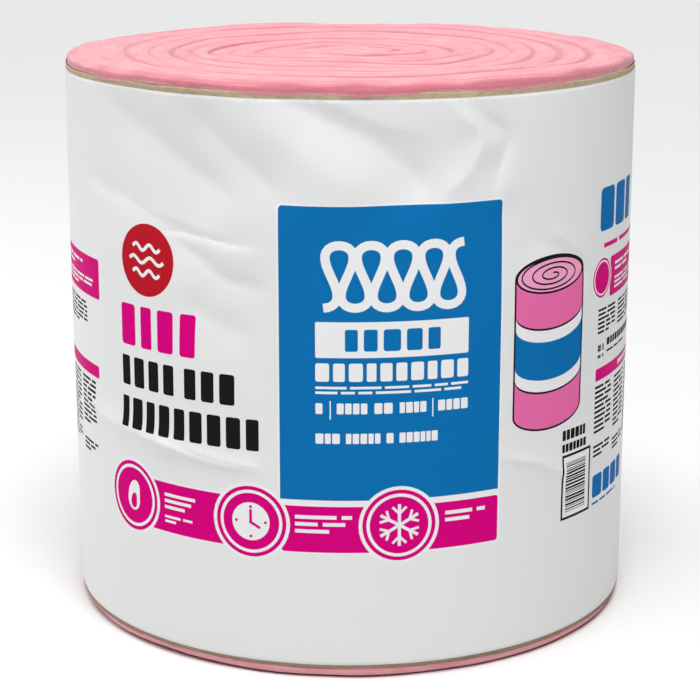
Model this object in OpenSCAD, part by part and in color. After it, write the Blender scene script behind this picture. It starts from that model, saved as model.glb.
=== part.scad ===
// Roll of faced glass-wool insulation, standing on its end.
// The batt is rolled up tight with its kraft facing outwards, and a printed
// film is wrapped once round the side. Both ends stay open, so the wool swells
// a little out of them. Millimetres, +Z up along the roll's axis, origin on the
// floor at the middle of the lower end. The film's lap seam is at the back, +Y.

/* [Batt] */
// Width of the batt and its facing, which is the roll's nominal height
batt_w = 584; // [380:1:620]
// Length of the batt when it is unrolled
batt_len = 11940; // [6000:10:18000]

/* [Roll] */
// Diameter of the finished roll over the film
roll_d = 614; // [400:1:760]
// How far the wool swells above the facing's upper edge
swell_top = 7; // [3:0.5:20]
// How far the wool hangs below the facing's lower edge, flattened by the floor
swell_bottom = 11; // [3:0.5:20]
// How far in from the side the upper end is rounded
shoulder_top = 26; // [8:1:40]
// How far in from the side the lower end is rounded
shoulder_bottom = 14; // [8:1:40]
// Width of the crease between two turns on the ends
crease_w = 6; // [2:0.5:8]

/* [Facing] */
// Thickness of the asphalt-coated kraft paper
kraft_t = 0.4; // [0.2:0.1:1]

/* [Film] */
// Thickness of the plastic film
film_t = 0.15; // [0.1:0.05:0.4]
// How far the film stops below the facing's upper edge
film_inset_top = 6; // [1:0.5:30]
// How far the film stops above the facing's lower edge
film_inset_bottom = 4; // [1:0.5:30]
// How far the film's end laps over its start, along the arc
film_lap = 90; // [30:5:200]

/* [Hidden] */
$fn = 180;
arc_steps = 10; // straight steps in each rounded shoulder

// radii, from the outside in: each layer lies on the next one
film_r = roll_d / 2;
lap_r = film_r + film_t;
kraft_r = film_r - film_t;
wool_r = kraft_r - kraft_t;

// heights, from the floor up
kraft_z0 = swell_bottom;
kraft_z1 = kraft_z0 + batt_w;
film_z0 = kraft_z0 + film_inset_bottom;
film_z1 = kraft_z1 - film_inset_top;
roll_h = kraft_z1 + swell_top;

// the batt's side area is shared out over its length, which gives the
// thickness of one squeezed turn
turn_t = PI * wool_r * wool_r / batt_len;
crease_count = floor((wool_r - turn_t / 2) / turn_t);

// Rounded edge between an end face and the side wall: a quarter ellipse.
function shoulder(width, z_side, z_end) = [
    for (i = [0 : arc_steps])
        let (a = 90 * i / arc_steps)
        [wool_r - width * (1 - sin(a)), z_end + (z_side - z_end) * (1 - cos(a))]
];

// A list of points in reverse order.
function reversed(points) = [
    for (i = [len(points) - 1 : -1 : 0])
        points[i]
];

// Half section of the roll, from the middle of its lower end round to the
// middle of its upper end.
function roll_outline() = concat(
    [[0, 0]],
    shoulder(shoulder_bottom, kraft_z0, 0),
    reversed(shoulder(shoulder_top, kraft_z1, roll_h)),
    [[0, roll_h]]
);

// A tube standing between two heights.
module tube(r_in, r_out, z0, z1) {
    translate([0, 0, z0])
        rotate_extrude()
            translate([r_in, 0])
                square([r_out - r_in, z1 - z0]);
}

// Round-bottomed ring groove where two turns meet on an end face.
module crease(r, z) {
    rotate_extrude()
        translate([r, z])
            circle(d = crease_w, $fn = 24);
}

// The rolled batt: one turned solid with a crease for each turn on both ends.
module wool_roll() {
    color("lightpink")
        difference() {
            rotate_extrude()
                polygon(roll_outline());
            for (turn = [1 : crease_count])
                for (z = [0, roll_h])
                    crease(wool_r - turn * turn_t, z);
        }
}

// Outermost turn of the kraft facing, as wide as the batt.
module kraft_facing() {
    color("tan")
        tube(wool_r, kraft_r, kraft_z0, kraft_z1);
}

// Film wrapped once round the side, with its end lapped over its start.
module film_wrap() {
    lap_angle = film_lap / (2 * PI * film_r) * 360;
    color("whitesmoke")
        union() {
            tube(kraft_r, film_r, film_z0, film_z1);
            translate([0, 0, film_z0])
                rotate([0, 0, 90 - lap_angle / 2])
                    rotate_extrude(angle = lap_angle)
                        translate([kraft_r, 0])
                            square([lap_r - kraft_r, film_z1 - film_z0]);
        }
}

wool_roll();
kraft_facing();
film_wrap();
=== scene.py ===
# %% [markdown]
# # A roll of faced glass-wool insulation
#
# The real thing is a long batt of pink glass wool with kraft paper glued to
# one face. It is rolled up tight with the paper outwards, and a thin printed
# film is wrapped once round the side. Both ends stay open, so the wool swells
# out of them in soft, uneven turns.
#
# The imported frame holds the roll's real size. This lesson builds the looks
# round it in three pieces: the wool, the kraft paper and the film.

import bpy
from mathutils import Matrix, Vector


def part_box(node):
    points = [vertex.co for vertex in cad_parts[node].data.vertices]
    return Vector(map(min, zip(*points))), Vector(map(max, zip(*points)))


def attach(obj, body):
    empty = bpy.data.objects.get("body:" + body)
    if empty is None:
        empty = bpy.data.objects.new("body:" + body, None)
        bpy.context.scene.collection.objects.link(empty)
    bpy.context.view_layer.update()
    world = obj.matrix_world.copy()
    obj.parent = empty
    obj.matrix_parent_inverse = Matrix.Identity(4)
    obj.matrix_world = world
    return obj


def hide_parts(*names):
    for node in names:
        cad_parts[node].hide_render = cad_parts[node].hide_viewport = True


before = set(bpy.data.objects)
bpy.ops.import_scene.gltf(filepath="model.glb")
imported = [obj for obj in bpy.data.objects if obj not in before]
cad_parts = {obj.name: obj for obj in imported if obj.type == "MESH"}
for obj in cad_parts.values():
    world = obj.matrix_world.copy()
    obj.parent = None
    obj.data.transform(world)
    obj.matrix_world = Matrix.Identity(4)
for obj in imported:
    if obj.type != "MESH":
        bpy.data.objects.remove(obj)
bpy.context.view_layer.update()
print("packed nodes:", sorted(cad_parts))

# %% Tools
import math

import bpy
import numpy as np
from mathutils.geometry import delaunay_2d_cdt

MM = 0.001  # sizes that are given here are in millimetres, and Blender's are in metres

# %% [markdown]
# ## Sizes
#
# Every size that the frame knows is read from it. A place on the roll's side
# is given as on the flat film: the distance round the roll from the middle of
# the front, to the right, and the height above the floor.

# %% Read the sizes
wool_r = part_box("wool_roll")[1].x
kraft_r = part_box("kraft_facing")[1].x
film_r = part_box("film_wrap")[1].x
roll_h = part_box("wool_roll")[1].z
kraft_bottom, kraft_top = (corner.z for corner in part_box("kraft_facing"))
film_bottom, film_top = (corner.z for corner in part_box("film_wrap"))
around = 2 * math.pi * film_r
film_lap = 90 * MM
film_gauge = 0.15 * MM
print(f"roll {2 * film_r:.3f} m across, {roll_h:.3f} m high, {around:.3f} m round")


# %% Shared shape helpers
def soft_step(x):
    """Goes from 0 to 1 as x does, with soft ends."""
    x = np.clip(x, 0, 1)
    return x * x * (3 - 2 * x)


def wobble(angle, seed, waves):
    """A smooth wobble round the roll, about -1 to 1, that meets itself after one turn."""
    rng = np.random.default_rng(seed)
    total = np.zeros_like(angle)
    for count in waves:
        total = total + rng.uniform(0.5, 1.0) * np.sin(count * angle + rng.uniform(0, 2 * math.pi))
    return total / len(waves) ** 0.5


def dapple(angle, across, seed, count, waves_round, waves_across):
    """Smooth uneven patches, about -1 to 1.

    They are waves in random directions, each of which meets itself after one turn round the roll.
    """
    rng = np.random.default_rng(seed)
    total = np.zeros(np.broadcast(angle, across).shape)
    for _ in range(count):
        round_it = rng.integers(1, waves_round + 1)
        over_it = rng.uniform(-waves_across, waves_across)
        total = total + np.sin(round_it * angle + over_it * across + rng.uniform(0, 2 * math.pi))
    return total / (count / 2) ** 0.5


def new_piece(name, points, faces):
    """A smooth-shaded mesh object made from points and faces."""
    mesh = bpy.data.meshes.new(name)
    mesh.from_pydata(np.asarray(points).tolist(), [], faces)
    mesh.shade_smooth()
    mesh.update()
    piece = bpy.data.objects.new(name, mesh)
    bpy.context.scene.collection.objects.link(piece)
    triangles = sum(len(face) - 2 for face in faces)
    print(f"{name}: {len(points)} points, {triangles} triangles")
    return piece


def keep_values(piece, name, values, kind="FLOAT"):
    """Stores one value, or one vector, for each point, for the material to read by name."""
    field = piece.data.attributes.new(name, kind, "POINT")
    key = "value" if kind == "FLOAT" else "vector"
    field.data.foreach_set(key, np.asarray(values, np.float32).ravel())


# %% [markdown]
# ## Folds in the wrap
#
# The film is pulled round a soft body, so it is never quite round. Long folds
# run down from the upper edge, a few sharp creases run round the side, and
# the lower third is nearly smooth. A cloth simulation could make such folds,
# but not these ones in these places. So each fold is one line of sizes: a few
# places that its crest or its valley runs through, how far its two flanks
# reach, and how high it stands. The flanks fall away steeply beside the line
# and then ever more softly, as pulled film does. The film, the paper and the
# wool's side all follow the same folds, so no layer cuts through another.


# %% Fold helper
def smooth_line(places, steps=6):
    """A smooth line through a few places, as points at even shares between each two."""
    places = np.asarray(places, float)
    ends = np.concatenate([2 * places[:1] - places[1:2], places, 2 * places[-1:] - places[-2:-1]])
    line = []
    for p0, p1, p2, p3 in zip(ends, ends[1:], ends[2:], ends[3:]):
        for t in np.linspace(0, 1, steps, endpoint=False):
            bend = (2 * p0 - 5 * p1 + 4 * p2 - p3) * t**2 + (3 * p1 - p0 - 3 * p2 + p3) * t**3
            line.append(p1 + ((p2 - p0) * t + bend) / 2)
    return np.array([*line, places[-1]])


def fold(u, z, line, left, right, height, edge):
    """How far one fold moves the side out. All values are in millimetres.

    The left and right flanks are as seen from the line's first point towards its last.
    """
    reach = 4 * max(left, right)  # farther from its line than this, a fold has no effect
    turn = around / MM
    u = (u - line[:, 0].mean() + turn / 2) % turn - turn / 2 + line[:, 0].mean()  # the nearest way round
    (u0, z0), (u1, z1) = line.min(0) - reach, line.max(0) + reach
    near = np.flatnonzero((u > u0) & (u < u1) & (z > z0) & (z < z1))
    places = np.stack([u[near], z[near]], -1)[:, None]
    starts, ways = line[:-1], np.diff(line, axis=0)
    share = (((places - starts) * ways).sum(-1) / (ways**2).sum(-1)).clip(0, 1)
    gap = places - starts - share[..., None] * ways
    distance = np.hypot(gap[..., 0], gap[..., 1])
    nearest = distance.argmin(1)
    best, gap = distance[np.arange(len(near)), nearest], gap[np.arange(len(near)), nearest]
    to_left = ways[nearest, 0] * gap[:, 1] > ways[nearest, 1] * gap[:, 0]
    pull = np.exp((best[:, None] - distance) / 6)  # near bends, several stretches of the line count
    along = (pull * (np.arange(len(ways)) + share)).sum(1) / pull.sum(1) / len(ways)
    fall = (np.hypot(best, edge) - edge) / np.where(to_left, left, right)
    fade = soft_step(along * 3.5) * soft_step((1 - along) * 3.5)
    out = np.zeros(len(u))
    out[near] = height * fade * np.exp(-fall) * soft_step((reach - best) / reach)
    return out


# %% The folds of this roll, in millimetres
fold_kinds = [
    # places that it runs through, flanks to the left and right, height, how round its edge is
    ([(-345, 603), (-276, 569), (-227, 549), (-191, 528), (-163, 511), (-130, 494), (-95, 478)],
     36, 56, -12.5, 3.0),
    ([(-175, 590), (-152, 562), (-119, 536), (-84, 509), (-50, 485)], 32, 30, -7.0, 2.0),
    ([(-125, 600), (-89, 566), (-55, 541), (-21, 518), (9, 504), (50, 484)], 44, 36, 5.2, 12.0),
    ([(-112, 603), (-58, 585), (-11, 567), (28, 548), (56, 526), (76, 500), (90, 476)], 50, 40, -11.5, 1.5),
    ([(-50, 598), (-15, 585), (22, 569), (50, 561), (90, 552)], 26, 12, 3.6, 3.0),
    ([(85, 596), (105, 575), (127, 557), (129, 538), (116, 515), (98, 498), (90, 470)], 13, 14, 4.2, 2.0),
    ([(105, 592), (138, 568), (159, 552), (161, 538), (150, 512), (144, 480)], 9, 20, -4.4, 1.5),
    ([(-390, 505), (-342, 493), (-301, 483), (-262, 478), (-231, 468), (-187, 456), (-150, 448)],
     30, 16, -4.0, 1.5),
    ([(-215, 450), (-185, 451), (-153, 449), (-120, 445), (-76, 444)], 30, 4, -3.0, 0.6),
    ([(-250, 476), (-220, 468), (-183, 462), (-147, 456), (-110, 450)], 12, 14, 1.6, 2.0),
    ([(-200, 446), (-180, 438), (-149, 424), (-131, 411), (-97, 404), (-70, 400)], 16, 18, -4.6, 1.0),
    ([(-190, 388), (-160, 374), (-123, 360), (-85, 352)], 26, 26, -4.4, 4.0),
    ([(-380, 252), (-323, 242), (-275, 236), (-224, 232), (-193, 229), (-160, 222)], 12, 9, 3.4, 1.0),
    ([(-240, 234), (-193, 229), (-170, 224), (-135, 220), (-76, 215)], 8, 6, 2.8, 0.5),
    ([(-180, 232), (-130, 226), (-76, 220)], 4, 5, 1.4, 0.4),
    ([(150, 224), (183, 216), (215, 205), (241, 192), (280, 180)], 8, 6, 2.0, 0.6),
    ([(205, 452), (231, 443), (258, 426), (284, 409), (310, 400)], 8, 6, 1.4, 0.8),
    ([(190, 440), (230, 430), (262, 412), (290, 390)], 9, 10, -1.2, 1.0),
    ([(150, 495), (176, 471), (192, 449), (206, 420)], 30, 40, -3.0, 3.0),
]


def folds_elsewhere(seed=11, count=30):
    """Folds for the sides and the back, drawn at random in the same kinds as those in front."""
    rng = np.random.default_rng(seed)
    kinds = []
    for _ in range(count):
        start = rng.uniform(490, around / MM - 740)
        z = rng.choice([575, 530, 450, 330, 215]) + rng.uniform(-25, 25)
        length = rng.uniform(110, 240)
        drop = length * (rng.uniform(0.2, 0.6) if z > 490 else rng.uniform(-0.1, 0.2))
        bend = rng.uniform(-12, 12, 2)
        bends = ((0, 0), (0.33, bend[0]), (0.67, bend[1]), (1, 0))
        places = [(start + length * share, z - drop * share + aside) for share, aside in bends]
        left, right = rng.uniform(14, 30, 2) if z > 490 else rng.uniform(4, 14, 2)
        height = rng.choice([-1, 1]) * (left + right) * rng.uniform(0.05, 0.09)
        kinds.append((places, left, right, height, rng.uniform(0.08, 0.2) * min(left, right)))
    return kinds


folds = [(smooth_line(places), *sizes) for places, *sizes in fold_kinds + folds_elsewhere()]
print(len(folds), "folds in the wrap")


def relief(u, z):
    """How far the side stands out from its true cylinder, in metres."""
    u, z = np.broadcast_arrays(u, z)
    flat_u, flat_z = u.ravel() / MM, z.ravel() / MM
    total = 0.35 * dapple(flat_u * MM / film_r, flat_z * MM / film_r, 3, 14, 5, 4)  # never quite round
    for line, left, right, height, edge in folds:
        total = total + fold(flat_u, flat_z, line, left, right, height, edge)
    return total.reshape(u.shape) * MM


def on_roll(u, z, r):
    """Bends places on the flat film round the roll, at a radius."""
    angle = u / film_r
    return np.stack([r * np.sin(angle), -r * np.cos(angle), z + 0 * r], -1)


def grid_faces(rows, columns, closed=False):
    """Four-sided faces between rows of points. A closed grid joins its last column to its first."""
    faces = []
    for row in range(rows - 1):
        for column in range(columns if closed else columns - 1):
            beside = (column + 1) % columns
            a, b = row * columns + column, row * columns + beside
            faces.append((a, b, b + columns, a + columns))
    return faces


# %% [markdown]
# ## The wool
#
# Glass wool has no hard surface. On the ends, each turn of the batt is a soft
# pillow with a crease on either side, and the creases wander because the wool
# is squeezed unevenly. The turns are round at the rim, but the middle is
# squeezed flat, so the inner turns are long, pointed ovals. A sculpted or
# simulated end would be heavy, so the end is a polar grid whose height is a
# formula: how many turns lie between a point and the rim says where it is on
# its pillow. The outer turn has nothing to hold it, so it swells past the edge
# of the paper and hangs over it, most of all at the front.
#
# Two values are kept at each point for the finish. One is painted shade: the
# wool is darker beside the creases, along the fine lines, on the rim and on
# the upper rim's steep wall, where less light falls. The other runs across the
# turns, so that streaks and fibres can follow them.

# %% Sizes of the wool's ends
turn_pitch = 27.6 * MM  # from one crease to the next
crease_depth = 3.4 * MM
pillow_h = 1.8 * MM
shoulder_w = 26 * MM  # how far in from the side the upper edge starts to fall
low_shoulder_w = 14 * MM
end_level = roll_h - 1.5 * MM  # flat level of the upper end, below its swellings
middle_r = 30 * MM  # the very middle is soft wool, without a pinch or a crease
crease_shade_w = 3.8 * MM  # how far the painted shade reaches on either side of a crease
rim_droop = 0.7 * MM  # how far the swollen rim hangs down over the paper
front_rise = 6.5 * MM  # the roll stands a little fuller at the front
ring_step = 1.6 * MM
wool_columns = 400
fold_room = 18 * MM  # deeper than any fold of the wrap
hold_back = fold_room + 6 * MM  # behind the wrap the wool keeps clear of the folds and of the paper
tuck_top = kraft_top - 16 * MM  # between these two heights the wool is held back all the way
tuck_bottom = kraft_bottom + 20 * MM
print(f"{int(wool_r / turn_pitch)} turns on each end, {turn_pitch / MM:.1f} mm from crease to crease")


def turns_in(x, y):
    """How many turns of the batt lie between the rim and a point on an end."""
    angle = np.arctan2(x, -y)
    r = np.hypot(x, y)
    eye = 1 - soft_step((r / wool_r - 0.05) / 0.6)  # the middle is squeezed to a long, pointed oval
    r = np.hypot(x * (1 - 0.34 * eye), y) + 0.3 * eye * np.abs(y)
    wander = 3.8 * MM * dapple(angle, r / wool_r, 21, 12, 4, 9) * soft_step(r / (80 * MM))
    return (wool_r - r + wander) / turn_pitch + angle / (2 * math.pi)


def stands(along, seed):
    """How high a turn stands, as a share from about -1 to 1. It changes slowly along the batt."""
    return 0.6 * np.sin(0.57 * along + seed) + 0.4 * np.sin(1.31 * along + 3 * seed)


def end_height(x, y, seed):
    """Height of the wool's end above its flat level, and its painted shade at creases and fine lines."""
    angle, r = np.arctan2(x, -y), np.hypot(x, y)
    turns = turns_in(x, y)
    index = np.round(turns)
    off_crease = turns - index
    along = 2 * math.pi * index - angle  # runs on from one turn into the next
    facing = np.cos(angle) ** 2  # 1 at the front and the back, 0 at the sides
    outside = soft_step(r / middle_r)
    strong = 0.6 + 0.4 * np.sin(along * 0.83 + seed) * np.sin(along * 0.31 + 2 * seed)
    strong = strong * np.where(index < 1.5, 0.3, 1.0) * (0.45 + 0.75 * facing) * outside
    half_width = (2.2 + 2.6 * (r / wool_r) ** 2) * MM
    groove = np.exp(-((off_crease * turn_pitch / half_width) ** 2))
    # painted shade: darker wool beside each crease and along the fine lines, most at the front and the back
    beside = np.exp(-((off_crease * turn_pitch / crease_shade_w) ** 2))
    pillow = np.abs(np.sin(math.pi * off_crease)) ** 0.7
    layers = np.sin(2 * math.pi * turns * 3 + 2.2 * dapple(angle, r / wool_r, seed + 4, 8, 5, 7))
    uneven = dapple(angle, r / wool_r, seed + 9, 16, 7, 14)
    inner = soft_step(0.5 + off_crease / 0.16)
    stand = stands(along, seed) * inner + stands(along - 2 * math.pi, seed) * (1 - inner)
    height = pillow_h * pillow * (0.6 + 0.4 * strong) - crease_depth * strong * groove
    height = height - (0.3 + 0.4 * facing) * MM * layers * pillow
    height = height + 0.8 * MM * uneven + 0.9 * MM * stand * (1 - r / wool_r * 0.3)
    height = pillow_h / 2 + (height - pillow_h / 2) * outside
    fine_line_shade = (0.1 + 1.1 * facing) * np.clip(layers, 0, 1) ** 4 * soft_step(r / (2 * middle_r))
    return height, 2.2 * beside * strong + fine_line_shade * pillow


# %% Build the wool as rings of points
def quarter(steps):
    """Sines and cosines from the level of an end down to the upright side."""
    turn = np.linspace(0, math.pi / 2, steps + 1)
    return list(zip(np.sin(turn), np.cos(turn)))


def wool_section():
    """The wool's half section, from the middle of the top, over the side, to the middle of the bottom.

    Each ring has a radius, a height, and how much it belongs to the top and to the bottom.
    """
    flat_r = wool_r - shoulder_w
    lip = kraft_top - 0.9 * MM  # the lowest part of the swollen rim, which hangs over the paper
    rings = [(r, end_level, 1, 0) for r in np.arange(0.5 * MM, flat_r, ring_step)]
    for sine, cosine in quarter(18)[1:]:
        r, z = flat_r + shoulder_w * sine**0.7, lip + (end_level - lip) * cosine**0.7
        rings.append((r, z, cosine**0.4, 0))
    rings.append((wool_r - 0.5 * MM, lip - 1.4 * MM, 0, 0))
    rings.append((wool_r - 3 * MM, lip - 1.6 * MM, 0, 0))
    for z in (tuck_top, tuck_bottom):
        rings.append((wool_r - hold_back, z, 0, 0))
    for sine, cosine in quarter(9)[::-1]:
        r, z = wool_r - low_shoulder_w * (1 - sine**0.8), (kraft_bottom + 4 * MM) * (1 - cosine**0.8)
        rings.append((r, z, 0, cosine))
    rings += [(r, 0, 0, 1) for r in np.arange(wool_r - low_shoulder_w, 0, -10 * MM)[1:]]
    return rings


def build_wool():
    """The wool's closed mesh, with the two values that its finish reads."""
    rings = wool_section()
    angle = np.linspace(-math.pi, math.pi, wool_columns, endpoint=False)
    swell = wobble(angle, 5, (3, 5, 8, 13, 19))
    lumps = wobble(angle, 12, (17, 22, 26, 31))
    front = 0.5 * (1 + np.cos(angle))
    bulge = MM * (3.9 * front**2 - 2.2 + (1.3 * swell + 0.2 * lumps) * (0.4 + 0.6 * front))
    hang = soft_step(bulge / (1.2 * MM))  # the rim hangs over the paper only where it bulges past it
    droop = rim_droop * np.clip(0.6 + swell + 0.5 * lumps, 0, 2)
    settled = front_rise * front
    points, shade_rows, layers = [], [], []
    passed = 0.0
    for i, (r, z, top, bottom) in enumerate(rings):
        rim = soft_step((r - wool_r + shoulder_w) / shoulder_w)
        past_edge = max(z - kraft_top + 4 * MM, kraft_bottom + 2 * MM - z)
        free = soft_step(past_edge / (3.5 * MM))  # 1 where no paper holds the wool in
        ring_r = r - 0.8 * MM + rim * free * bulge
        if top or bottom or free:
            ring_r = ring_r + rim * relief(angle * film_r, z)
        x, y = ring_r * np.sin(angle), -ring_r * np.cos(angle)
        height, crease = end_height(x, y, 1 if top else 5)
        rim_wave = 1.3 * MM * wobble(angle, 8, (2, 3, 5, 9)) * (r / wool_r) ** 2
        rim_wave = rim_wave + settled * (r / wool_r) ** 4 + 0.7 * MM * lumps * rim
        level = z + (height + rim_wave) * top + np.maximum(-height, 0) * bottom * 0.8
        if z > kraft_top - 3 * MM:
            lift = 1.4 * MM * (1 - hang) - droop * hang
            level = level + lift * soft_step((kraft_top + 5 * MM - z) / (5 * MM))
        points.append(np.stack([x, y, level], -1))
        # painted shade on the rim, added to the painted shade of the creases
        rim_shade = 0.25 * rim * (0.8 + lumps) * (z > tuck_bottom)
        shade_rows.append(crease * max(top, 0.6 * bottom) + rim_shade)
        if i:
            passed += math.hypot(r - rings[i - 1][0], z - rings[i - 1][1])
        wander = turns_in(x, y) - (wool_r - r) / turn_pitch - angle / (2 * math.pi)
        layers.append(np.stack([passed - wander * turn_pitch, x, y], -1))
    faces = [face[::-1] for face in grid_faces(len(rings), wool_columns, closed=True)]
    faces.append(tuple(range(wool_columns)))
    faces.append(tuple(range(len(rings) * wool_columns - 1, (len(rings) - 1) * wool_columns - 1, -1)))
    piece = new_piece("wool", np.concatenate(points), faces)
    normals = np.empty(3 * len(piece.data.vertices), np.float32)
    piece.data.vertex_normals.foreach_get("vector", normals)
    # painted shade on steep walls, which get less of the light from above
    wall_shade = (1 - np.abs(normals[2::3])) * (normals[2::3] > 0)  # the upper rim's wall, not the lower one
    keep_values(piece, "squeezed", np.clip(0.75 * np.concatenate(shade_rows) + 1.5 * wall_shade, 0, 1))
    keep_values(piece, "layers", np.concatenate(layers), "FLOAT_VECTOR")
    return piece


wool = build_wool()

# %% [markdown]
# ## The kraft paper
#
# Only the outermost turn of the paper shows, as a thin tan line above and
# below the film. It is a closed tube of paper whose two edges wander a little,
# because the batt never winds up quite true. Between the two edges the film
# hides it, so there it keeps clear of the film's folds.

# %% Build the paper
paper_gauge = 0.4 * MM
paper_columns = 720
edge_depths = (0, 2, 4, 7, 10, 14, 18, 24)  # in millimetres in from a cut edge, close together at the edge
follow_w = 12 * MM  # this near to a cut edge the paper follows the folds, and then it turns in


def build_kraft():
    """The paper as a closed tube with an outer and an inner skin."""
    angle = np.linspace(-math.pi, math.pi, paper_columns, endpoint=False)
    u = angle * film_r
    top = kraft_top + 0.6 * MM * wobble(angle, 31, (2, 5, 7, 12, 23))
    bottom = kraft_bottom + 0.5 * MM * wobble(angle, 32, (3, 4, 9, 11, 26))
    heights = [bottom + depth * MM for depth in edge_depths]
    heights += [top - depth * MM for depth in edge_depths[::-1]]
    rows = []
    for skin, levels in ((0, heights), (1, heights[::-1])):
        for z in levels:
            from_edge = np.minimum(z - kraft_bottom, kraft_top - z)
            hidden = soft_step((from_edge - follow_w) / follow_w)
            r = kraft_r - 0.25 * MM - skin * paper_gauge
            rows.append(on_roll(u, z, r + relief(u, z) * (1 - hidden) - fold_room * hidden))
    faces = grid_faces(len(rows), paper_columns, closed=True)
    last = (len(rows) - 1) * paper_columns
    for column in range(paper_columns):
        beside = (column + 1) % paper_columns
        faces.append((last + column, last + beside, beside, column))
    return new_piece("kraft", np.concatenate(rows), faces)


kraft = build_kraft()

# %% [markdown]
# ## The print
#
# The film is printed in white, blue, magenta, black, red and two pinks. An
# image texture would blur at its edges, and a shader that draws every bar
# would be slow to read. So the print is cut into the film's own mesh: each printed shape is an
# outline on the flat film, a constrained triangulation puts edges along all of
# them, and the faces inside an outline take the ink's material. The edges then
# stay sharp however near the camera comes. Rows of plain blocks stand where a
# pack has its words, so nothing on the film can be read.

# %% Outlines on the flat film, in millimetres
inks = []  # (ink, outline) pairs, and a later one is printed over an earlier one


def print_shape(ink, outline):
    """Prints one closed outline, with points close enough together to bend round the roll."""
    outline = np.asarray(outline, float)
    fine = []
    for start, end in zip(outline, np.roll(outline, -1, axis=0)):
        steps = max(1, math.ceil(np.linalg.norm(end - start) / 5))
        fine += [start + (end - start) * step / steps for step in range(steps)]
    inks.append((ink, np.array(fine)))


def block(ink, left, bottom, right, top, corner=0.0):
    """A rectangle with round corners."""
    if corner <= 0:
        print_shape(ink, [(left, bottom), (right, bottom), (right, top), (left, top)])
        return
    outline = []
    middles = ((right - corner, top - corner, 0), (left + corner, top - corner, 90),
               (left + corner, bottom + corner, 180), (right - corner, bottom + corner, 270))
    for u, z, start in middles:
        for turn in (0, 30, 60, 90):
            t = math.radians(start + turn)
            outline.append((u + corner * math.cos(t), z + corner * math.sin(t)))
    print_shape(ink, outline)


def disc(ink, u, z, r, points=40):
    """A round spot."""
    turn = np.linspace(0, 2 * math.pi, points, endpoint=False)
    print_shape(ink, np.stack([u + r * np.cos(turn), z + r * np.sin(turn)], -1))


def stroke(ink, path, width):
    """A line of even width along a path."""
    path = np.asarray(path, float)
    way = np.gradient(path, axis=0)
    way /= np.linalg.norm(way, axis=1)[:, None]
    side = np.stack([-way[:, 1], way[:, 0]], -1) * width / 2
    left, right = path + side, path - side
    for i in range(len(path) - 1):  # one four-sided stretch at a time, so that loops may cross
        print_shape(ink, [left[i], right[i], right[i + 1], left[i + 1]])


def word(ink, left, bottom, right, top, letters, gap=0.2, seed=1):
    """A row of plain blocks of uneven widths, in place of a word."""
    rng = np.random.default_rng(seed)
    widths = rng.uniform(0.75, 1.15, letters)
    unit = (right - left) / (widths.sum() + gap * (letters - 1))
    u = left
    for width in widths * unit:
        block(ink, u, bottom, u + width, top, min(width, top - bottom) * 0.16)
        u += width + gap * unit


def fine_rows(ink, left, top, right, rows, pitch, seed, last=0.6):
    """Lines of small print, each a few plain dashes."""
    rng = np.random.default_rng(seed)
    for row in range(rows):
        z = top - row * pitch
        end = right - (right - left) * (1 - last) * (row == rows - 1)
        u = left
        while u < end - pitch:
            length = min(rng.uniform(2.5, 7) * pitch, end - u)
            block(ink, u, z - pitch * 0.52, u + length, z)
            u += length + pitch * 0.7


def ringed(u, z, r):
    """The round badge that the pictograms sit in."""
    disc("pale", u, z, r)
    disc("magenta", u, z, r * 0.91)
    disc("pale", u, z, r * 0.81)
    disc("magenta", u, z, r * 0.73)


# %% The front panel
def hatch_symbol():
    """The wavy line that stands for soft insulation on a builder's drawing."""
    t = np.linspace(0, 4.5, 160)
    u = -26 + 31.0 * t + 9.5 * np.sin(4 * math.pi * t)
    z = 418.5 - 31 * np.cos(2 * math.pi * t)
    stroke("pale", np.stack([u, z], -1), 9)


block("pale", -72, 185.5, 158, 489.5, 5)
block("blue", -70, 187.5, 156, 487.5, 4)
hatch_symbol()
block("pale", -34, 337.5, 119.5, 373.5, 1.5)
word("blue", -5, 344, 90, 366, 5, gap=0.36, seed=3)
word("pale", -34, 313.5, 119.5, 332, 10, gap=0.32, seed=4)
fine_rows("pale", -34, 308.5, 119.5, 2, 5.0, seed=5, last=1)
word("pale", -34, 280.5, -27, 291.5, 1)
word("pale", -13, 280.5, 17, 291.5, 4, seed=6)
word("pale", 24, 280.5, 42, 291.5, 2, seed=7)
word("pale", 49, 280.5, 76, 291.5, 4, seed=8)
word("pale", 88, 280.5, 119.5, 291.5, 4, seed=9)
for separator in (-20, 82):
    block("pale", separator, 275, separator + 1.2, 294)
word("pale", -34, 250, -10, 260.5, 3, seed=10)
word("pale", -4, 250, 30, 260.5, 5, seed=11)
word("pale", 36, 250, 43, 260.5, 1, seed=12)
word("pale", 49, 250, 88, 260.5, 6, seed=13)
print("front panel:", len(inks), "printed shapes so far")

# %% The magenta band and its three badges
badge_z = 164
badges = (-252, -101, 49.5)
block("pale", -226, 134, 158, 191, 5)
block("magenta", -224, 136, -72, 189, 3)
block("magenta", -69, 136, 156, 184.5, 3)
block("pale", -72, 184.5, 158, 187.5)
fine_rows("pale", -204, 178, -160, 3, 6.6, seed=21)
fine_rows("pale", -204, 154, -168, 2, 5.0, seed=22)
fine_rows("pale", -55, 175, 2, 3, 7.4, seed=23)
fine_rows("pale", 97, 175, 141, 2, 7.4, seed=24)
for badge in badges:
    ringed(badge, badge_z, 41)


def flame(u, z):
    """A flame: a drop with a leaning tip, and a smaller one inside it."""
    for ink, size in (("pale", 1.0), ("magenta", 0.5)):
        t = np.linspace(0, 2 * math.pi, 36, endpoint=False)
        lean = 3.0 * size * np.maximum(0, np.cos(t)) ** 3
        r = size * (12 + 9 * np.maximum(0, np.cos(t)) ** 3)
        drop_z = z - 4 - 7 * (1 - size)
        print_shape(ink, np.stack([u + r * np.sin(t) * 0.82 + lean, drop_z + r * np.cos(t)], -1))


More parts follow.
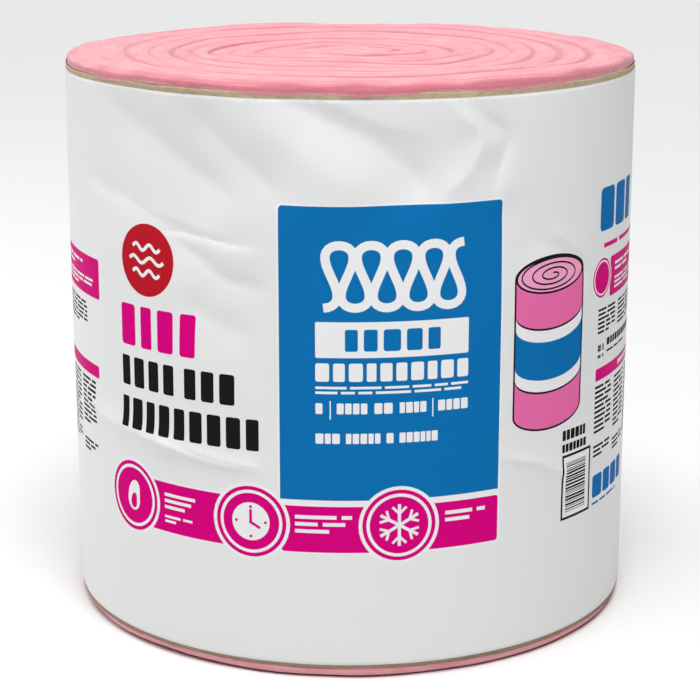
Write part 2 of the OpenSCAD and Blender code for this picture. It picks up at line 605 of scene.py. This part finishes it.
def clock(u, z):
    """A clock face with four marks and two hands."""
    disc("pale", u, z, 20)
    for turn in range(4):
        t = math.radians(90 * turn)
        disc("magenta", u + 15.5 * math.sin(t), z + 15.5 * math.cos(t), 1.6, 12)
    stroke("magenta", [(u, z - 2), (u, z + 6), (u, z + 13)], 3)
    stroke("magenta", [(u - 1.5, z), (u + 5, z - 3.5), (u + 10, z - 6.2)], 3)


def snow_star(u, z):
    """A six-armed frost star."""
    for turn in range(6):
        t = math.radians(60 * turn)
        way = np.array([math.sin(t), math.cos(t)])
        side = np.array([way[1], -way[0]])
        centre = np.array([u, z])
        stroke("pale", [centre, centre + 11 * way, centre + 22 * way], 3.2)
        for hand in (-1, 1):
            root = centre + 12 * way
            middle, tip = root + 3.5 * way + 3.5 * hand * side, root + 7 * way + 7 * hand * side
            stroke("pale", [root, middle, tip], 2.6)


flame(badges[0], badge_z)
clock(badges[1], badge_z)
snow_star(badges[2], badge_z)
print("badges:", len(inks), "printed shapes so far")

# %% The round mark, the blocks in place of words, and the bar code
mark_u, mark_z = -225, 417.5
disc("red", mark_u, mark_z, 37, 48)
for row in (-13, 0, 13):  # three heat waves, the middle one longer
    t = np.linspace(-1, 1, 22)
    reach = 24 if row == 0 else 19
    wave = np.stack([mark_u + reach * t, mark_z + row + 3.2 * np.sin(2 * math.pi * t)], -1)
    stroke("pale", wave, 3.6)
word("magenta", -265, 325.5, -162, 369, 4, gap=0.42, seed=31)
word("black", -265.5, 282.5, -189, 314, 4, gap=0.42, seed=32)
word("black", -175.5, 282.5, -117, 314, 3, gap=0.42, seed=33)
word("black", -266, 238, -91.5, 270.5, 9, gap=0.42, seed=34)


def bar_code(left, bottom, right, top, seed):
    """A framed stack of plain bars that no reader can read."""
    frame_w = 2.8
    block("black", left, bottom, right, top)
    block("pale", left + frame_w, bottom + frame_w, right - frame_w, top - frame_w)
    rng = np.random.default_rng(seed)
    z = bottom + 8
    while z < top - 9:
        bar = rng.choice([0.8, 1.4, 2.2])
        block("black", left + 7, z, right - 10, z + bar)
        z += bar + rng.choice([0.9, 1.5])


word("black", 243.5, 224, 284, 235, 6, seed=35)
word("black", 243.5, 211, 286, 220, 7, seed=36)
bar_code(243.5, 137, 296.5, 208, 37)


# %% A pictogram of a roll
def ellipse(u, z, wide, high, start=0, end=360, steps=40):
    """Points on an ellipse, or on a part of it between two angles in degrees."""
    t = np.radians(np.linspace(start, end, steps, endpoint=end - start < 360))
    return np.stack([u + wide * np.cos(t), z + high * np.sin(t)], -1)


def roll_picture(u, bottom, top, wide, high):
    """A plain drawing of a roll that stands on its end: a body, a label and a spiral on top."""
    for ink, more in (("black", 2.2), ("pink", 0)):
        lower = ellipse(u, bottom, wide + more, high + more, 180, 360, 24)
        upper = ellipse(u, top, wide + more, high + more, 0, 180, 24)
        print_shape(ink, np.concatenate([lower, upper]))
    for ink, low, up in (("black", 0.26, 0.74), ("pale", 0.275, 0.725), ("blue", 0.36, 0.64)):
        lower = ellipse(u, bottom + low * (top - bottom), wide, high, 180, 360, 24)
        upper = ellipse(u, bottom + up * (top - bottom), wide, high, 360, 180, 24)
        print_shape(ink, np.concatenate([lower, upper]))
    print_shape("black", ellipse(u, top, wide + 1, high + 1))
    print_shape("rose", ellipse(u, top, wide - 1.5, high - 1.2))
    t = np.linspace(0, 2 * math.pi * 3.25, 130)  # three and a quarter turns inwards
    share = 1 - t / (2 * math.pi * 3.6)
    stroke("black", np.stack([u + wide * share * np.cos(t), top + high * share * np.sin(t)], -1), 1.8)


roll_picture(222, 262, 404, 48, 18)
print("roll picture:", len(inks), "printed shapes so far")


# %% The panels round the sides
panel_w = 540


def side_panel(left):
    """The small-print panel on the side of the wrap."""
    word("blue", left, 434.5, left + 100, 480, 3, gap=0.16, seed=41)
    for cell in range(4):
        word("blue", left + 130 + 62 * cell, 458, left + 172 + 62 * cell, 478, 3, seed=42 + cell)
        fine_rows("blue", left + 130 + 62 * cell, 452, left + 168 + 62 * cell, 2, 4, seed=52 + cell)
    fine_rows("magenta", left + 10, 421, left + 220, 1, 9, seed=61, last=1)
    for part in range(3):
        u = left + 9 + 186 * part
        block("magenta", u + 20, 361, u + 166, 404, 3)
        ringed(u, 385, 23)
        fine_rows("pale", u + 34, 396, u + 120, 2, 6, seed=62 + part)
        fine_rows("pale", u + 34, 380, u + 150, 3, 5, seed=66 + part)
        fine_rows("black", u - 7, 352, u + 40, 6, 4.8, seed=70 + part)
        fine_rows("black", u + 50, 352, u + 130, 6, 4.8, seed=75 + part)
    for row in range(5):
        for cell in range(5):
            if (row * 3 + cell * 2 + row * cell) % 3:
                block("black", left + 3.6 * cell, 299 + 3.6 * row, left + 3.4 + 3.6 * cell, 302.4 + 3.6 * row)
    word("black", left + 26, 309, left + 130, 317, 12, seed=80)
    fine_rows("black", left + 26, 304, left + 130, 1, 4.4, seed=81)
    block("magenta", left, 274.5, left + panel_w, 288, 2)
    word("pale", left + 66, 278.5, left + 160, 284, 14, seed=82)
    for column in range(10):
        u = left + 54 * column
        fine_rows("black", u, 269, u + 44, 10 + column % 3, 5.4, seed=83 + column)
        fine_rows("black", u, 204 - 5 * (column % 2), u + 44, 3, 5.0, seed=95 + column)
    word("blue", left, 146, left + 96, 171, 4, gap=0.16, seed=110)
    fine_rows("blue", left, 141, left + 120, 1, 5, seed=111)


side_panel(303)
side_panel(-317 - panel_w)
print(len(inks), "printed shapes")

# %% [markdown]
# ## The film
#
# The film's mesh starts flat: a grid of points, fine enough for the folds,
# and the outlines of the print. After the triangulation it is bent round the
# roll, pushed out by the folds, and given a second skin on the inside, so it
# is a closed sheet of the film's thickness. Its far end laps over its start
# at the back. The outer normals are worked out from the shape itself, because
# normals averaged from uneven triangles would show every printed edge as a
# dent in the gloss.

# %% Triangulate the flat film round the print
film_step = 8 * MM
film_end = around / 2 + film_lap / 2  # both ends are at the back, this far round from the front
us = np.linspace(-film_end, film_end, int(2 * film_end / film_step) + 1)
rim_steps = np.array([0, 1, 2, 3.5, 5.5]) * MM
zs = np.linspace(film_bottom, film_top, int((film_top - film_bottom) / film_step) + 1)[1:-1]
zs = np.concatenate([film_bottom + rim_steps, zs, film_top - rim_steps[::-1]])


def crease_points():
    """Rows of extra points along the sharper folds, in millimetres, so that the mesh can follow them."""
    rows = []
    for line, left, right, _, edge in folds:
        way = np.gradient(line, axis=0)
        side = np.stack([-way[:, 1], way[:, 0]], -1) / np.linalg.norm(way, axis=1)[:, None]
        for share in (-0.8, -0.3, 0, 0.3, 0.8):
            rows.append(line + share * (left if share > 0 else right) * side)
    points = np.concatenate(rows)
    turn = around / MM
    points[:, 0] = (points[:, 0] + turn / 2) % turn - turn / 2
    keep = (points[:, 1] > film_bottom / MM + 2) & (points[:, 1] < film_top / MM - 2)
    return points[keep]


def triangulate_film():
    """Points (u, z) and triangles of the flat film, with an edge along every outline."""
    grid = np.stack(np.meshgrid(us, zs), -1).reshape(-1, 2)
    grid = np.concatenate([grid / MM, crease_points()])
    points, edges = [grid], []
    count = len(grid)
    for _, outline in inks:
        ids = np.arange(count, count + len(outline))
        edges += list(zip(ids.tolist(), np.roll(ids, -1).tolist()))
        points.append(outline)
        count += len(outline)
    flat = np.concatenate(points)
    found = delaunay_2d_cdt(flat.tolist(), edges, [], 0, 1e-3, False)
    return np.array([tuple(p) for p in found[0]]) * MM, np.array(found[2])


def inside(outline, points):
    """Which points lie inside a closed outline."""
    hit = np.zeros(len(points), bool)
    for (u0, z0), (u1, z1) in zip(outline, np.roll(outline, -1, axis=0)):
        crosses = (z0 > points[:, 1]) != (z1 > points[:, 1])
        slope = (u1 - u0) / (z1 - z0 if z1 != z0 else 1)
        hit ^= crosses & (points[:, 0] < u0 + slope * (points[:, 1] - z0))
    return hit


ink_slots = ["film", "pale", "blue", "magenta", "black", "red", "pink", "rose"]


def ink_faces(flat, triangles):
    """The material slot of each triangle: the last outline printed over its middle."""
    middles = flat[triangles].mean(1) / MM
    slots = np.zeros(len(triangles), int)
    order = np.argsort(middles[:, 0])
    sorted_u = middles[order, 0]
    for ink, outline in inks:
        first, last = np.searchsorted(sorted_u, (outline[:, 0].min(), outline[:, 0].max()))
        near = order[first:last]
        slots[near[inside(outline, middles[near])]] = ink_slots.index(ink)
    return slots


# %% Bend it round the roll
lap_start = around / 2 - film_lap / 2
loose_w = 25 * MM  # the last of the lap isn't held down


def film_radius(u, z):
    """Radius of the film's outer face."""
    lap = soft_step((u - lap_start) / (6 * MM))
    loose = soft_step((u - (film_end - loose_w)) / loose_w)
    lift = film_gauge + 0.25 * MM + loose * MM * (0.5 + 0.5 * np.sin(z * 33) * np.sin(z * 57 + 1))
    rim = np.minimum(z - film_bottom, film_top - z)
    curl = 0.7 * MM * (1 - soft_step(rim / (3 * MM)))
    return film_r + 0.5 * MM + relief(u, z) + lap * lift - curl


def film_point(u, z):
    """Where a place on the flat film ends up on the roll."""
    return on_roll(u, z, film_radius(u, z))


def film_normals(u, z):
    """Outward normals of the film, from the slope of its shape."""
    near = 0.5 * MM  # the slope is taken over this distance on either side
    along = film_point(u + near, z) - film_point(u - near, z)
    up = film_point(u, z + near) - film_point(u, z - near)
    normals = np.cross(along, up)
    return normals / np.linalg.norm(normals, axis=1)[:, None]


def build_film():
    """The film's closed mesh, with an ink's material slot on each face."""
    flat, triangles = triangulate_film()
    outer = film_point(flat[:, 0], flat[:, 1])
    normals = film_normals(flat[:, 0], flat[:, 1])
    count = len(outer)
    faces = np.concatenate([triangles, triangles[:, ::-1] + count]).tolist()
    sides = np.concatenate([triangles[:, [0, 1]], triangles[:, [1, 2]], triangles[:, [2, 0]]]).tolist()
    shared = {(b, a) for a, b in sides}
    faces += [(b, a, a + count, b + count) for a, b in sides if (a, b) not in shared]  # the film's cut edges
    piece = new_piece("film", np.concatenate([outer, outer - film_gauge * normals]), faces)
    material = np.zeros(len(faces), np.int32)
    material[: len(triangles)] = ink_faces(flat, triangles)
    piece.data.polygons.foreach_set("material_index", material)
    piece.data.normals_split_custom_set_from_vertices(np.concatenate([normals, -normals]).tolist())
    return piece


film = build_film()

# %% [markdown]
# ## Finishes
#
# Glass wool is dull and fibrous. Its finish mixes three pinks by noise that is
# drawn out along the turns and darkens them with painted shade in the creases
# and on the rim, and two bumps give it fibres and small lumps. Kraft paper is a
# matt brown and stained, with painted shade that darkens it towards the floor.
# The film has a gloss with an uneven haze. Each ink stays one even colour,
# because the print is already cut into the mesh. Painted textures could do the
# same, but they would blur close up and have to be carried along with the model.


# %% Small helpers for material nodes
def new_finish(name, **sockets):
    """A material with one Principled shader whose plain values are set by name."""
    finish = bpy.data.materials.new(name)
    finish.use_nodes = True
    shader = finish.node_tree.nodes["Principled BSDF"]
    for socket, value in sockets.items():
        shader.inputs[socket.replace("_", " ")].default_value = value
    return finish, finish.node_tree, shader


def add_node(tree, kind, links=(), **values):
    """A node with its settings, and links as (input, output) pairs."""
    node = tree.nodes.new(kind)
    for name, value in values.items():
        if hasattr(node, name):
            setattr(node, name, value)
        else:
            node.inputs[name.replace("_", " ")].default_value = value
    for into, source in links:
        tree.links.new(source, node.inputs[into])
    return node


def noise(tree, source, scale, detail):
    """Noise at the places that an output gives."""
    node = add_node(tree, "ShaderNodeTexNoise", [("Vector", source)], Scale=scale, Detail=detail)
    return node.outputs["Fac"]


def stretch(tree, source, scale):
    """The same places scaled differently each way, which draws noise out into streaks."""
    return add_node(tree, "ShaderNodeMapping", [("Vector", source)], Scale=scale).outputs[0]


def ramp(tree, source, stops):
    """A colour ramp, from (place, colour) pairs."""
    node = tree.nodes.new("ShaderNodeValToRGB")
    tree.links.new(source, node.inputs[0])
    while len(node.color_ramp.elements) < len(stops):
        node.color_ramp.elements.new(0.5)
    for element, (place, colour) in zip(node.color_ramp.elements, stops):
        element.position = place
        element.color = (*colour, 1)
    return node.outputs[0]


def darken(tree, amount, colour, tint):
    """A colour multiplied by a tint, as far as the amount says."""
    links = [("Factor", amount), (6, colour)]
    node = add_node(tree, "ShaderNodeMix", links, data_type="RGBA", blend_type="MULTIPLY")
    node.inputs[7].default_value = (*tint, 1)
    return node.outputs[2]


def bump(tree, height, strength, distance, under=None):
    """Fine relief from a height, on top of the relief under it."""
    node = add_node(tree, "ShaderNodeBump", [("Height", height)], Strength=strength, Distance=distance)
    if under is not None:
        tree.links.new(under, node.inputs["Normal"])
    return node.outputs[0]


# %% Wool finish
wool_pinks = [(0.3, (0.72, 0.27, 0.31)), (0.5, (0.79, 0.345, 0.385)), (0.7, (0.85, 0.44, 0.48))]
# the tint of the painted shade in the creases and on the rim
squeezed_tint = (0.68, 0.45, 0.50)


def wool_finish():
    """Three pinks along the turns, darkened by painted shade, with fibres and small lumps as relief."""
    finish, tree, shader = new_finish("pink glass wool", Roughness=0.9, Specular_IOR_Level=0.15,
                                      Sheen_Weight=0.25, Sheen_Roughness=0.6)
    layers = add_node(tree, "ShaderNodeAttribute", attribute_name="layers").outputs["Vector"]
    squeezed = add_node(tree, "ShaderNodeAttribute", attribute_name="squeezed").outputs["Fac"]
    place = add_node(tree, "ShaderNodeTexCoord").outputs["Object"]
    streaks = noise(tree, stretch(tree, layers, (420, 22, 22)), 1.0, 4.0)
    clumps = noise(tree, place, 34.0, 5.0)
    half_of_each = add_node(tree, "ShaderNodeMix", [(2, streaks), (3, clumps)]).outputs[0]
    pinks = ramp(tree, half_of_each, wool_pinks)
    # the painted shade darkens the pinks
    tree.links.new(darken(tree, squeezed, pinks, squeezed_tint), shader.inputs["Base Color"])
    fibres = noise(tree, stretch(tree, layers, (1500, 160, 160)), 1.0, 3.0)
    coarse = bump(tree, noise(tree, place, 160.0, 6.0), 0.5, 0.003)
    tree.links.new(bump(tree, fibres, 0.6, 0.001, under=coarse), shader.inputs["Normal"])
    return finish


wool.data.materials.append(wool_finish())
print("wool finish:", len(wool.data.materials[0].node_tree.nodes), "nodes")

# %% Paper finish
kraft_browns = [(0.3, (0.42, 0.33, 0.21)), (0.5, (0.51, 0.41, 0.27)), (0.7, (0.57, 0.47, 0.33))]
stain_tint = (0.68, 0.70, 0.66)
# painted shade: the paper is darkened towards the floor, where less light reaches it
floor_shade_tint = (0.50, 0.42, 0.36)
floor_shade_h = 0.3  # the paper is darker below this height, most of all at the floor


def kraft_finish():
    """Brown grain with stains, and painted shade that darkens it towards the floor."""
    finish, tree, shader = new_finish("kraft paper", Roughness=0.75, Specular_IOR_Level=0.3)
    place = add_node(tree, "ShaderNodeTexCoord").outputs["Object"]
    grain = noise(tree, stretch(tree, place, (150, 150, 420)), 1.0, 6.0)
    browns = ramp(tree, grain, kraft_browns)
    stained = darken(tree, noise(tree, place, 9.0, 3.0), browns, stain_tint)
    height = add_node(tree, "ShaderNodeSeparateXYZ", [("Vector", place)]).outputs["Z"]
    # painted shade darkens the paper towards the floor
    floor_shade = add_node(tree, "ShaderNodeMapRange", [("Value", height)], From_Max=floor_shade_h, To_Min=0.75, To_Max=0)
    tree.links.new(darken(tree, floor_shade.outputs[0], stained, floor_shade_tint), shader.inputs["Base Color"])
    tree.links.new(bump(tree, grain, 0.4, 0.0006), shader.inputs["Normal"])
    return finish


kraft.data.materials.append(kraft_finish())
print("paper finish:", len(kraft.data.materials[0].node_tree.nodes), "nodes")

# %% Film and ink finishes
even_haze = 0.34  # the plain roughness, for a viewer that doesn't read the uneven one
clearest, haziest = 0.28, 0.42
film_gloss = 0.3
ink_gloss = 0.005  # more gloss than this would wash the inks out where the roll turns away
film_colours = {
    "film": (0.725, 0.728, 0.731),
    "pale": (0.78, 0.785, 0.79),
    "blue": (0.005, 0.148, 0.400),
    "magenta": (0.62, 0.002, 0.190),
    "black": (0.012, 0.011, 0.012),
    "red": (0.45, 0.011, 0.022),
    "pink": (0.74, 0.145, 0.37),
    "rose": (0.82, 0.34, 0.53),
}


def film_finish(name, colour, gloss):
    """Printed film: one even ink under a thin gloss whose haze varies a little."""
    finish, tree, shader = new_finish(name, Base_Color=(*colour, 1), Roughness=even_haze,
                                      Specular_IOR_Level=gloss)
    place = add_node(tree, "ShaderNodeTexCoord").outputs["Object"]
    haze = add_node(tree, "ShaderNodeMapRange", [("Value", noise(tree, place, 18.0, 5.0))],
                    To_Min=clearest, To_Max=haziest)
    tree.links.new(haze.outputs[0], shader.inputs["Roughness"])
    skin = noise(tree, stretch(tree, place, (90, 90, 240)), 1.0, 4.0)
    tree.links.new(bump(tree, skin, 0.12, 0.0006), shader.inputs["Normal"])
    return finish


for name in ink_slots:
    gloss = film_gloss if name == "film" else ink_gloss
    film.data.materials.append(film_finish(f"{name} print", film_colours[name], gloss))
print("film and ink finishes:", len(film.data.materials))

# %% [markdown]
# ## Into the frame
#
# Each piece stands for one imported node and rides on the roll's one body. The
# wool is soft all through. The film is a sheet, stretched round the paper, and
# its flat size is its width by the way round and the lap.

# %% Place the pieces in the frame
stand_ins = ((wool, "wool_roll", "wool"), (kraft, "kraft_facing", "kraft"), (film, "film_wrap", "film"))
for piece, node, slot in stand_ins:
    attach(piece, "root")
    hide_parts(node)
    print(piece.name, "stands for", node)

# %% [markdown]
# ## Stage, light and camera
#
# The roll stands on a pale matt floor that runs on far behind it, so that the
# floor fills the view. Three light boxes near the roll shape it. The smallest
# is high in front and draws out the folds, and two at the left and behind it
# brighten that side. Two broad lights from far off, one straight down and one
# slightly from the front, light the floor evenly, and the world adds very
# little. The camera has a long lens and looks down a little.

# %% Floor
floor_r = 30.0
floor_corners = 96
turn = np.linspace(0, 2 * math.pi, floor_corners, endpoint=False)
floor_rim = np.stack([floor_r * np.cos(turn), floor_r * np.sin(turn), 0 * turn], -1)
floor = new_piece("floor", floor_rim, [tuple(range(floor_corners))])
floor_finish, _, _ = new_finish("pale floor", Base_Color=(0.75, 0.75, 0.75, 1), Roughness=0.8)
floor.data.materials.append(floor_finish)


# %% Lights
def around_roll(azimuth, elevation, distance):
    """A place round the roll. The azimuth goes to the right from the front, in degrees."""
    a, e = math.radians(azimuth), math.radians(elevation)
    out, up = distance * math.cos(e), distance * math.sin(e)
    return out * math.sin(a), -out * math.cos(a), roll_h / 2 + up


def soft_box(name, azimuth, elevation, distance, size, power):
    """A large area light that faces the roll."""
    light = bpy.data.lights.new(name, "AREA")
    light.shape = "RECTANGLE"
    light.size, light.size_y = size
    light.energy = power
    lamp = bpy.data.objects.new(name, light)
    lamp.location = around_roll(azimuth, elevation, distance)
    lamp.rotation_euler = (math.radians(90 - elevation), 0, math.radians(azimuth))
    bpy.context.scene.collection.objects.link(lamp)


soft_box("key box", azimuth=10, elevation=48, distance=1.8, size=(0.8, 0.8), power=8.6)
soft_box("left back box", azimuth=-115, elevation=22, distance=3.2, size=(1.6, 2.2), power=18)
soft_box("left box", azimuth=-85, elevation=30, distance=3.2, size=(1.6, 2.2), power=23)


def wide_light(name, azimuth, tilt, spread, strength):
    """A soft light from far off, so that the whole floor is lit evenly. Its angles are in degrees."""
    light = bpy.data.lights.new(name, "SUN")
    light.energy = strength
    light.angle = math.radians(spread)
    lamp = bpy.data.objects.new(name, light)
    lamp.rotation_euler = (math.radians(tilt), 0, math.radians(azimuth))
    bpy.context.scene.collection.objects.link(lamp)


wide_light("soft key", azimuth=10, tilt=18, spread=44, strength=2.5)
wide_light("soft ceiling", azimuth=0, tilt=0, spread=60, strength=1.1)
print(len(bpy.data.lights), "lights")

# %% World and the way that brightness is shown
world = bpy.data.worlds.new("studio")
world.use_nodes = True
world.node_tree.nodes["Background"].inputs["Color"].default_value = (1, 1, 1, 1)
world.node_tree.nodes["Background"].inputs["Strength"].default_value = 0.02
bpy.context.scene.world = world
bpy.context.scene.view_settings.view_transform = "Standard"

# %% Camera
camera_back = 2.268  # in front of the roll's middle
camera_up = 0.2726  # above the film's upper edge
camera_tilt = 14.74  # degrees down from level
camera_data = bpy.data.cameras.new("camera")
camera_data.sensor_width = 36
camera_data.lens = 107.1  # millimetres, on a sensor 36 mm wide
camera_data.clip_end = 100
camera = bpy.data.objects.new("camera", camera_data)
camera.location = (0, -camera_back, film_top + camera_up)
camera.rotation_euler = (math.radians(90 - camera_tilt), 0, 0)
bpy.context.scene.collection.objects.link(camera)
bpy.context.scene.camera = camera
print("camera at", tuple(round(value, 3) for value in camera.location))
